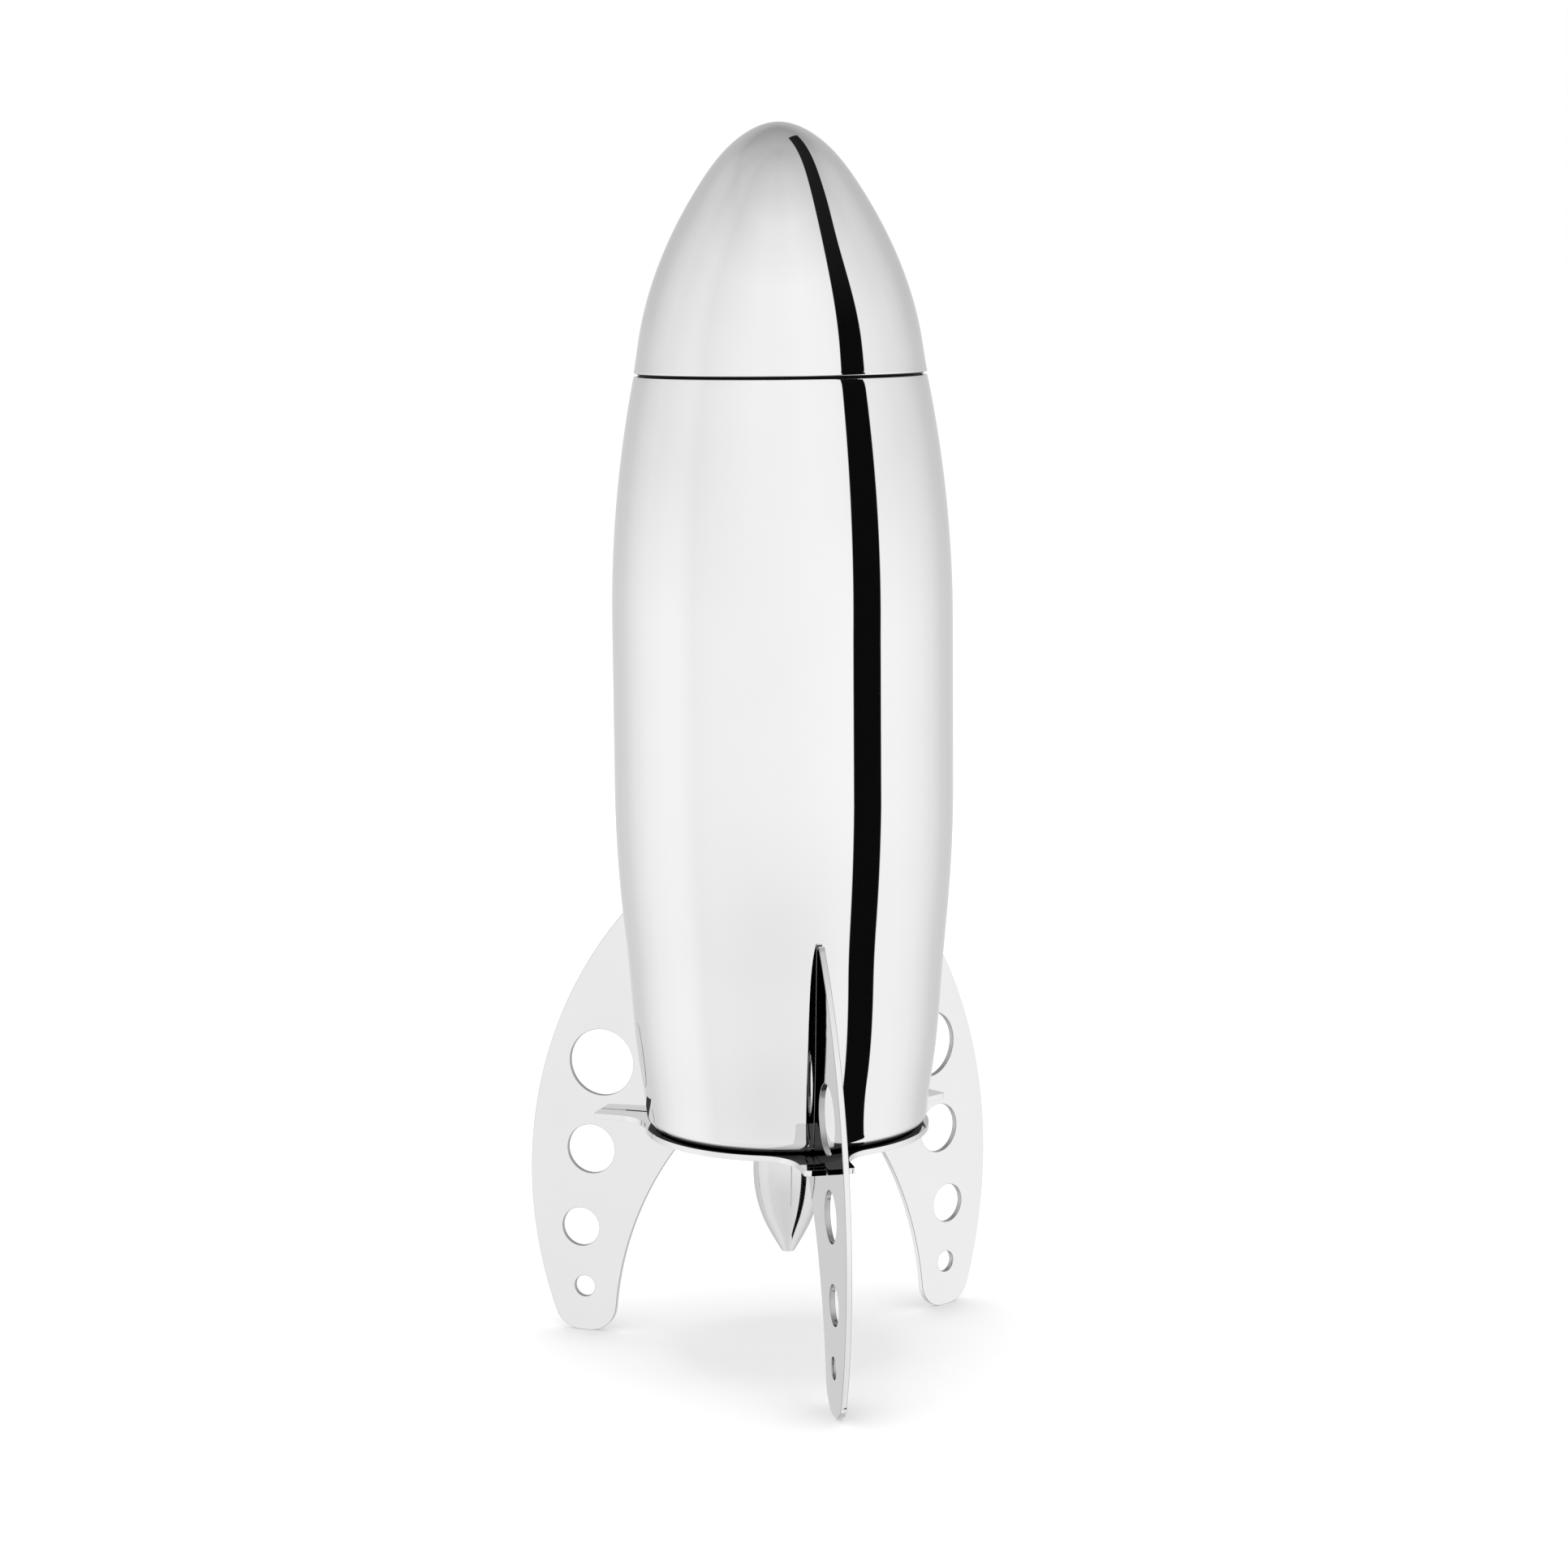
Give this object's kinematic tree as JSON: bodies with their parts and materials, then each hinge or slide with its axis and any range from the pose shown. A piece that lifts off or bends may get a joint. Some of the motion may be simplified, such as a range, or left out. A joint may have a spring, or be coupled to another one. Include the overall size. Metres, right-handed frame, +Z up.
{
  "type": "rocket cocktail shaker",
  "caption": "Mirror-polished steel cocktail shaker shaped as a rocket, with a lift-off nose cap and strainer, standing in a sheet-metal stand of pierced fins.",
  "frame": {"origin": "on the shaker's axis, at the height of the surface that the three feet stand on", "axes": "+Z up along the shaker's axis to the nose, -Y out along the front fin, +X to the right seen from the front"},
  "size_m": [0.1252, 0.1153, 0.3177],
  "materials": {
    "polished_steel": "mirror polished",
    "satin_steel": "satin",
    "screw_steel": "plain turned",
    "silicone": "translucent matt"
  },
  "bodies": {
    "stand": {"stand_plate": "polished_steel", "fin_front": "polished_steel", "fin_right": "polished_steel", "fin_left": "polished_steel", "tail_cone": "polished_steel", "tail_cone_screw": "screw_steel"},
    "shaker_body": {"body_shell": "polished_steel", "body_base": "satin_steel", "mouth_collar": "satin_steel"},
    "strainer_lid": {"strainer_insert": "satin_steel", "pouring_neck": "satin_steel", "strainer_disc": "satin_steel", "strainer_seal": "silicone"},
    "nose_cap": {"nose_shell": "polished_steel", "cap_collar": "satin_steel", "cap_seal": "silicone"}
  },
  "joints": [
    {"name": "body_lift", "type": "slide", "parent": "stand", "child": "shaker_body", "axis": [0, 0, 1], "range_m": [0, 0.07]},
    {"name": "lid_lift", "type": "slide", "parent": "shaker_body", "child": "strainer_lid", "axis": [0, 0, 1], "range_m": [0, 0.03]},
    {"name": "cap_lift", "type": "slide", "parent": "strainer_lid", "child": "nose_cap", "axis": [0, 0, 1], "range_m": [0, 0.04]}
  ]
}
